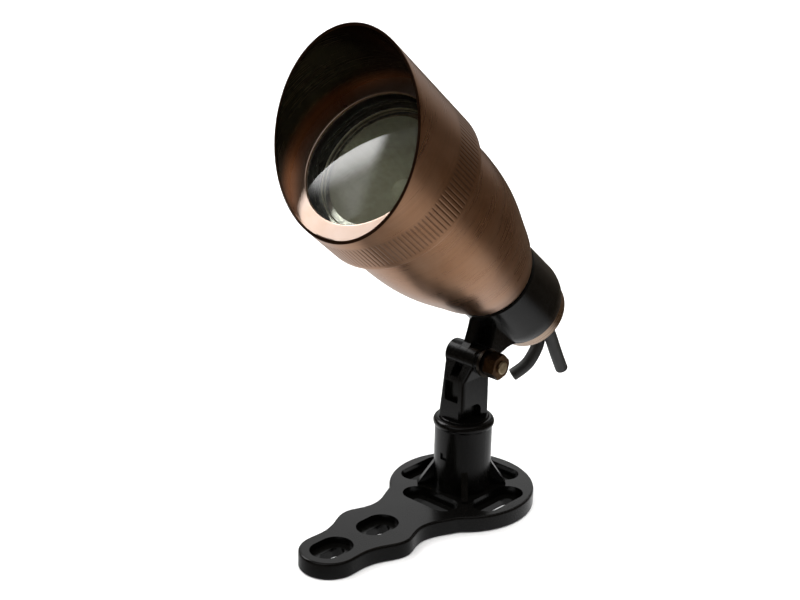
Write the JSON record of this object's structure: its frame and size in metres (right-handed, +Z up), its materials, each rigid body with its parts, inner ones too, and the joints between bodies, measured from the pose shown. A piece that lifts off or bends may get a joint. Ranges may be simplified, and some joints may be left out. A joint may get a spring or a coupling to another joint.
{
  "type": "landscape spotlight",
  "caption": "Outdoor spotlight: bullet-shaped bronzed head with slant-cut glare shroud on a tilting, swivelling knuckle over a screw-down base plate with a tail.",
  "frame": {"origin": "on the post axis, at the underside of the base plate", "axes": "+Z up along the post, tail and beam towards -Y, tilt axis along X with the nut on +X"},
  "size_m": [0.0636, 0.1402, 0.1896],
  "materials": {
    "bronzed_metal": "brushed round the axis, antique bronze plating",
    "black_polymer": "moulded, satin",
    "aged_brass": "antique, worn bright on the edges",
    "rubber": "matt",
    "gasket": "matt",
    "lead_jacket": "matt extruded insulation",
    "clear_glass": "polished",
    "reflector_glass": "faceted, mirror coated",
    "ceramic": "unglazed ceramic",
    "polished_ring": "polished black",
    "dark_steel": "blackened",
    "plated_steel": "zinc plated"
  },
  "bodies": {
    "base": {"base_plate": "black_polymer"},
    "knuckle": {"knuckle_fork": "black_polymer", "stem_ring": "rubber", "pivot_bolt": "aged_brass", "pivot_nut": "aged_brass", "flat_washer": "dark_steel", "lock_washer": "dark_steel"},
    "head": {"swivel_collar": "black_polymer", "housing": "bronzed_metal", "housing_seal": "rubber", "rear_nut": "bronzed_metal", "cable_grommet": "rubber", "lead_1": "lead_jacket", "lead_2": "lead_jacket", "holder_leads": "lead_jacket", "lamp_holder": "ceramic", "holder_bracket": "plated_steel", "bracket_screws": "plated_steel", "lamp_base": "ceramic", "lamp_pins": "plated_steel", "lamp_reflector": "reflector_glass", "lamp_cover": "clear_glass", "lamp_bezel": "plated_steel", "lamp_capsule": "clear_glass"},
    "shroud": {"shroud": "bronzed_metal", "lens_gasket": "gasket", "lens": "clear_glass", "lens_spacer": "polished_ring", "lens_ring": "plated_steel"}
  },
  "joints": [
    {"name": "pan", "type": "hinge", "parent": "base", "child": "knuckle", "pos_m": [0, 0, 0], "axis": [0, 0, 1], "continuous": true},
    {"name": "tilt", "type": "hinge", "parent": "knuckle", "child": "head", "pos_m": [0, 0.0018, 0.0581], "axis": [-1, 0, 0], "range_deg": [-61, 38]},
    {"name": "shroud_turn", "type": "hinge", "parent": "head", "child": "shroud", "pos_m": [0, 0.01502, 0.08558], "axis": [0, -0.7559, 0.6547], "continuous": true}
  ]
}
